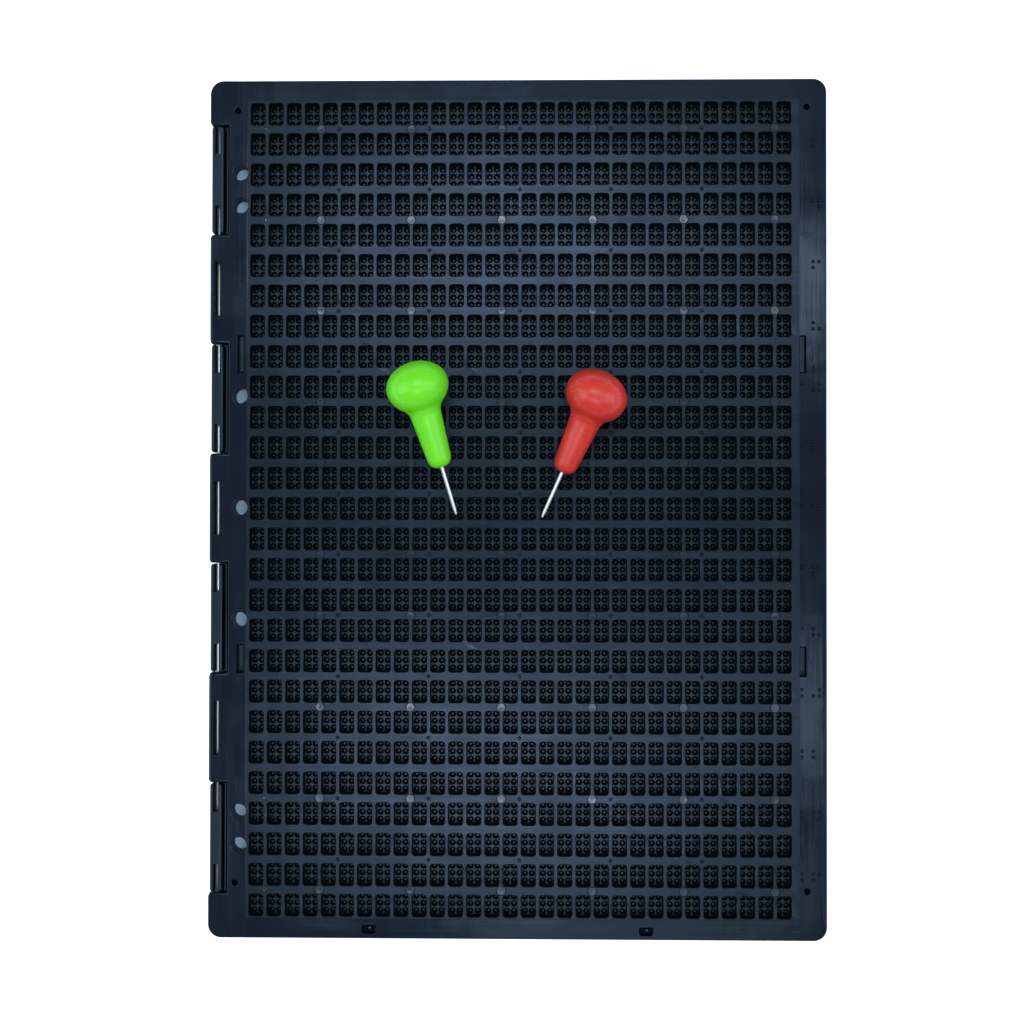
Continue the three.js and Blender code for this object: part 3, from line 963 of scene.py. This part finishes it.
# %% The plates' plastic
def inside_box(tree, here, box):
    """Two masks: between the left and right sides of a box, and inside the whole box."""
    left, foot, right, head = box
    axes = node(tree, "ShaderNodeSeparateXYZ", inputs={"Vector": here})
    masks = []
    for axis, low, high in (("X", left, right), ("Y", foot, head)):
        inputs = {0: (axes, axis), 1: (low + high) / 2 * MM, 2: (high - low) / 2 * MM}
        masks.append(node(tree, "ShaderNodeMath", {"operation": "COMPARE"}, inputs))
    between_sides, between_ends = masks
    both = {0: (between_sides, 0), 1: (between_ends, 0)}
    return between_sides, node(tree, "ShaderNodeMath", {"operation": "MULTIPLY"}, both)


def layered_relief(tree, layers):
    """Bends the surface by each pattern in turn, with its strength and its depth in millimetres."""
    bent = {}
    for pattern, strength, depth in layers:
        inputs = {"Height": (pattern, "Fac"), "Strength": strength, "Distance": depth * MM, **bent}
        bent = {"Normal": (node(tree, "ShaderNodeBump", inputs=inputs), "Normal")}
    return bent["Normal"]


PLATE_TONES = ("0A111B", "101925")


def moulded_polystyrene(
    name, margin_gloss, field_gloss, depth=1.0, mirror=0.36, polish=0.0, tones=PLATE_TONES
):
    """The plates' plastic, with its relief made deeper or shallower, and more or less polished."""
    material, tree, output = finish_named(name)
    place = node(tree, "ShaderNodeTexCoord")
    here = (place, "Object")
    between_sides, in_field = inside_box(tree, here, FIELD_BOX)

    # The real spark-eroded grain and the grinding lines are finer than a tenth of a millimetre, and are
    # drawn as coarse as they need to show.
    haze = node(tree, "ShaderNodeTexNoise", inputs={"Vector": here, "Scale": per_mm(14), "Detail": 4.0})
    grain = node(tree, "ShaderNodeTexNoise", inputs={"Vector": here, "Scale": per_mm(0.9), "Detail": 4.0})
    sink = node(tree, "ShaderNodeTexNoise", inputs={"Vector": here, "Scale": per_mm(18), "Detail": 2.0})
    flow = node(tree, "ShaderNodeMapping", inputs={"Vector": here, "Scale": (1.0, 0.12, 1.0)})
    ground_across = node(tree, "ShaderNodeMapping", inputs={"Vector": here, "Scale": (0.02, 1.0, 1.0)})
    ground_along = node(tree, "ShaderNodeMapping", inputs={"Vector": here, "Scale": (1.0, 0.02, 1.0)})
    ground = node(
        tree,
        "ShaderNodeMix",
        {"data_type": "VECTOR"},
        {"Factor": (between_sides, 0), "A": (ground_along, "Vector"), "B": (ground_across, "Vector")},
    )
    lines = node(
        tree,
        "ShaderNodeTexNoise",
        inputs={"Vector": (ground, "Result"), "Scale": per_mm(0.8), "Detail": 2.0},
    )
    webs = node(
        tree,
        "ShaderNodeTexNoise",
        inputs={"Vector": (flow, "Vector"), "Scale": per_mm(5.5), "Detail": 2.0},
    )
    shade = node(
        tree,
        "ShaderNodeMix",
        {"data_type": "RGBA"},
        {"Factor": (haze, "Fac"), "A": linear(tones[0]), "B": linear(tones[1])},
    )
    gloss = node(
        tree,
        "ShaderNodeMapRange",
        inputs={"Value": (in_field, 0), "To Min": margin_gloss, "To Max": field_gloss},
    )
    # The haze and the grinding lines make the roughness a little more or less.
    for pattern, low, high, less, more in ((haze, 0.35, 0.65, -0.03, 0.05), (lines, 0.3, 0.7, -0.04, 0.04)):
        span = {"From Min": low, "From Max": high, "To Min": less, "To Max": more}
        change = node(tree, "ShaderNodeMapRange", inputs={"Value": (pattern, "Fac"), **span})
        gloss = node(tree, "ShaderNodeMath", {"operation": "ADD"}, {0: (gloss, 0), 1: (change, 0)})
    layers = [
        (sink, 1.0, 0.22 * depth),
        (webs, 1.0, 0.07 * depth),
        (lines, 1.0, 0.014 * depth),
        (grain, 0.8, 0.014),
    ]
    shader = node(
        tree,
        "ShaderNodeBsdfPrincipled",
        inputs={
            "Base Color": (shade, "Result"),
            "Roughness": (gloss, 0),
            "Normal": layered_relief(tree, layers),
            "IOR": 1.56,
            "Specular IOR Level": mirror,
            "Specular Tint": linear("C8E4FF"),
            "Coat Weight": polish,
            "Coat Roughness": 0.12,
            "Coat IOR": 1.6,
            "Coat Tint": linear("D2F0FA"),
        },
    )
    tree.links.new(shader.outputs[0], output.inputs["Surface"])
    return material


# %% [markdown]
# ### Drawn steel
#
# The rod, the pins and the needles are drawn steel wire. The rod and the needles are tumbled until they
# are satin: the whole width of the wire gathers light from a wide angle, so it looks nearly white, with
# a soft grey flank. The short pins get dark tones as painted shade, for the shade of the holes they stand in.

# %% The steel
def drawn_steel(name, hex_dark, hex_pale):
    """Steel wire whose tone and gloss change a little along it."""
    material, tree, output = finish_named(name)
    place = node(tree, "ShaderNodeTexCoord")
    here = (place, "Object")
    # Tumbling leaves marks far finer than this, which are drawn as coarse as they need to show.
    streaks = node(tree, "ShaderNodeTexNoise", inputs={"Vector": here, "Scale": per_mm(0.5), "Detail": 3.0})
    stain = node(tree, "ShaderNodeTexNoise", inputs={"Vector": here, "Scale": per_mm(6), "Detail": 2.0})
    tone = node(
        tree,
        "ShaderNodeMix",
        {"data_type": "RGBA"},
        {"Factor": (stain, "Fac"), "A": linear(hex_dark), "B": linear(hex_pale)},
    )
    gloss = node(
        tree,
        "ShaderNodeMapRange",
        inputs={"Value": (streaks, "Fac"), "From Min": 0.3, "From Max": 0.7, "To Min": 0.38, "To Max": 0.48},
    )
    shader = node(
        tree,
        "ShaderNodeBsdfPrincipled",
        inputs={"Base Color": (tone, "Result"), "Roughness": (gloss, "Result"), "Metallic": 1.0},
    )
    tree.links.new(shader.outputs[0], output.inputs["Surface"])
    return material


# %% [markdown]
# ### Glossy moulded handles
#
# The handles are moulded in bright polypropylene with a smooth, waxy gloss. The colour runs all
# through. The surface has shallow ripples from shrinking in the mould, fine scuffs from use that blur
# the highlight, and a few long, pale scratches.

# %% The handles' plastic
def waxy_polypropylene(name, hex_deep, hex_bright, hex_scratch):
    """The handles' plastic in two near tones of one colour, and the tone of its scratches."""
    material, tree, output = finish_named(name)
    place = node(tree, "ShaderNodeTexCoord")
    here = (place, "Object")
    cloud = node(tree, "ShaderNodeTexNoise", inputs={"Vector": here, "Scale": per_mm(9), "Detail": 3.0})
    ripple = node(tree, "ShaderNodeTexNoise", inputs={"Vector": here, "Scale": per_mm(3.5), "Detail": 1.0})
    scuff = node(
        tree,
        "ShaderNodeTexNoise",
        inputs={"Vector": here, "Scale": per_mm(0.6), "Detail": 6.0, "Distortion": 1.5},
    )
    shade = node(
        tree,
        "ShaderNodeMix",
        {"data_type": "RGBA"},
        {"Factor": (cloud, "Fac"), "A": linear(hex_deep), "B": linear(hex_bright)},
    )
    # A scratch lies where a smooth noise passes its middle value, so it is long, thin and curved.
    sweep = node(tree, "ShaderNodeMapping", inputs={"Vector": here, "Scale": (0.5, 1.0, 1.0)})
    curves = node(
        tree,
        "ShaderNodeTexNoise",
        inputs={"Vector": (sweep, "Vector"), "Scale": per_mm(6), "Detail": 1.0},
    )
    scratch = node(
        tree,
        "ShaderNodeMath",
        {"operation": "COMPARE"},
        {0: (curves, "Fac"), 1: 0.5, 2: 0.004},
    )
    kept = node(
        tree,
        "ShaderNodeMapRange",
        inputs={"Value": (cloud, "Fac"), "From Min": 0.48, "From Max": 0.6, "To Min": 0.0, "To Max": 0.5},
    )
    scratched = node(tree, "ShaderNodeMath", {"operation": "MULTIPLY"}, {0: (scratch, 0), 1: (kept, 0)})
    worn_shade = node(
        tree,
        "ShaderNodeMix",
        {"data_type": "RGBA"},
        {"Factor": (scratched, 0), "A": (shade, "Result"), "B": linear(hex_scratch)},
    )
    gloss = node(
        tree,
        "ShaderNodeMapRange",
        inputs={"Value": (scuff, "Fac"), "From Min": 0.35, "From Max": 0.75, "To Min": 0.24, "To Max": 0.42},
    )
    shader = node(
        tree,
        "ShaderNodeBsdfPrincipled",
        inputs={
            "Base Color": (worn_shade, "Result"),
            "Roughness": (gloss, "Result"),
            "Normal": layered_relief(tree, [(ripple, 0.2, 0.08), (scuff, 0.15, 0.02)]),
            "IOR": 1.49,
        },
    )
    tree.links.new(shader.outputs[0], output.inputs["Surface"])
    return material


# %% [markdown]
# ### The table
#
# A white light table: its top glows, so that no shadow of the thin slate greys it. The glow is left
# out under the slate, as painted shade for the slate's shadow, and that part is what the round holes
# show.

# %% The table top and the light of the room
SHADED_BOX = (LEFT + 1.2, FOOT + 4.0, RIGHT - 0.2, HEAD - 4.0)


def white_table():
    material, tree, output = finish_named("white_light_table")
    place = node(tree, "ShaderNodeTexCoord")
    _, under = inside_box(tree, (place, "Object"), SHADED_BOX)
    # No glow inside the slate's outline: painted shade, seen through the round holes
    glow = node(tree, "ShaderNodeMapRange", inputs={"Value": (under, 0), "To Min": 0.9, "To Max": 0.0})
    shader = node(
        tree,
        "ShaderNodeBsdfPrincipled",
        inputs={
            "Base Color": linear("C9EAFF"),
            "Roughness": 0.8,
            "Emission Color": linear("FFFFFF"),
            "Emission Strength": (glow, 0),
        },
    )
    tree.links.new(shader.outputs[0], output.inputs["Surface"])
    return material


def room_light(strength):
    """An even, faint light from all round."""
    world = bpy.data.worlds.new("room")
    world.use_nodes = True
    background = world.node_tree.nodes["Background"]
    background.inputs["Color"].default_value = linear("F2F8FF")
    background.inputs["Strength"].default_value = strength
    bpy.context.scene.world = world


room_light(0.3)
bpy.context.scene.view_settings.view_transform = "Standard"
floor.data.materials.append(white_table())

# %% [markdown]
# ## Put it together
#
# Every new piece takes its finish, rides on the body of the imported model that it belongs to, and
# stands for the plain solid that MuJoCo keeps for the collisions.

# %% Dress the pieces and hang them on their bodies
cover_plastic = moulded_polystyrene("moulded_polystyrene_cover", 0.14, 0.30)
lower_plastic = moulded_polystyrene("moulded_polystyrene_lower", 0.36, 0.36, depth=0.3, mirror=0.38)
mark_plastic = moulded_polystyrene("polished_mark_of_the_mould", 0.30, 0.30, depth=2.0, polish=0.5)
# Near-black tones that mirror little: painted shade for steep faces and recessed floors
painted_shade_tones = ("04090F", "060D15")
painted_shade_plastic = moulded_polystyrene("painted_shade_on_the_moulding_sides", 0.6, 0.6, mirror=0.1, tones=painted_shade_tones)
scuffed_tones = ("17222E", "22303E")
scuffed_plastic = moulded_polystyrene("scuffed_sides_of_the_holes", 0.5, 0.5, mirror=0.3, tones=scuffed_tones)
steel = drawn_steel("satin_drawn_steel", "E2ECEA", "F2FAF8")
# The pins' dark tones are painted shade, for the shade of the holes they stand in
pin_steel_in_painted_shade = drawn_steel("pin_steel_in_painted_shade", "26303E", "38465A")
stylus_plastics = {
    "green_stylus": waxy_polypropylene("glossy_polypropylene_green", "6CE01C", "78EC26", "A8FF78"),
    "red_stylus": waxy_polypropylene("glossy_polypropylene_red", "CA3026", "D83B30", "F49A8E"),
}


def place_piece(piece, material, body, stands_for):
    """Gives a piece its finish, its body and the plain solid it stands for."""
    piece.data.materials.clear()
    piece.data.materials.append(material)
    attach(piece, body)
    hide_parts(stands_for)


place_piece(lower, lower_plastic, "base", "lower_plate")
place_piece(cover, cover_plastic, "cover", "cover_plate")
place_piece(rod, steel, "base", "hinge_rod")
for name, pin in pins.items():
    place_piece(pin, pin_steel_in_painted_shade, "base", name)
for name, (handle, needle) in styluses.items():
    place_piece(handle, stylus_plastics[name], name, name + "_handle")
    place_piece(needle, steel, name, name + "_needle")

# %% [markdown]
# ## Painted shade on the sides, and polished marks
#
# Steep faces, such as the sides of the windows, the pits and the dots, get a near-black, rough finish
# that mirrors next to nothing: painted shade for the shade inside them. The floors of the gate pockets
# and of the rings round the marks get the same painted shade. The sides of the round holes and of the lug
# slots are scuffed to a paler tone by use. The discs that the ejector pins left are polished, and so are the
# ends of the stubs; their faces are the ones near the height of the cover's top and within a disc's radius of
# its middle.

# %% Give the sides and the marks their own finish
PAINTED_SHADE_SLOPE, SCUFFED_SLOPE, POLISHED_SLOPE = 0.66, 0.5, 0.6
HAIR = 0.005


def near_a_place(middle, places, radius):
    return any(math.hypot(middle.x - x, middle.y - y) < radius for x, y in places)


# Steep faces and the floors of the gate pockets and mark rings take the painted shade
def in_painted_shade(middle, normal):
    in_a_pocket = abs(middle.z - GATE_FLOOR) < 0.01 and near_a_place(middle, GATES, 3.0)
    in_a_ring = abs(middle.z - RING_FLOOR) < 0.01 and near_a_place(middle, mark_places, MARK_RADIUS + 0.3)
    return abs(normal.z) < PAINTED_SHADE_SLOPE or in_a_pocket or in_a_ring


def scuffed_side(middle, normal):
    half_width = LUG_SLOT_WIDTH / 2 + 0.05
    in_a_slot = any(
        abs(middle.x - x) < half_width and abs(middle.y - y) < length / 2 + 0.1 for x, y, length in LUG_SLOTS
    )
    in_a_hole = near_a_place(middle, [(HOLE_X, y) for y in HOLE_YS], HOLE_RADIUS + 0.05)
    return abs(normal.z) < SCUFFED_SLOPE and (in_a_slot or in_a_hole)


def polished(middle, normal):
    if normal.z < POLISHED_SLOPE or abs(middle.z - COVER_TOP) > 0.15:
        return False
    if near_a_place(middle, STUBS, MARK_RADIUS):
        return True
    on_a_mark = near_a_place(middle, small_mark_places, SMALL_MARK_RADIUS)
    on_a_mark = on_a_mark or near_a_place(middle, mark_places, MARK_RADIUS)
    return on_a_mark and middle.z > COVER_TOP + HAIR


def give_finish(piece, material, wanted):
    """Adds a finish to a piece and assigns it to the wanted faces."""
    piece.data.materials.append(material)
    choose_faces(piece, wanted)
    piece.active_material_index = len(piece.data.materials) - 1
    bpy.ops.object.material_slot_assign()
    bpy.ops.object.mode_set(mode="OBJECT")
    count = sum(face.material_index == piece.active_material_index for face in piece.data.polygons)
    print(f"{material.name}: {count} faces of {piece.name}")


for piece in (lower, cover):
    give_finish(piece, painted_shade_plastic, in_painted_shade)
    give_finish(piece, scuffed_plastic, scuffed_side)
give_finish(cover, mark_plastic, polished)
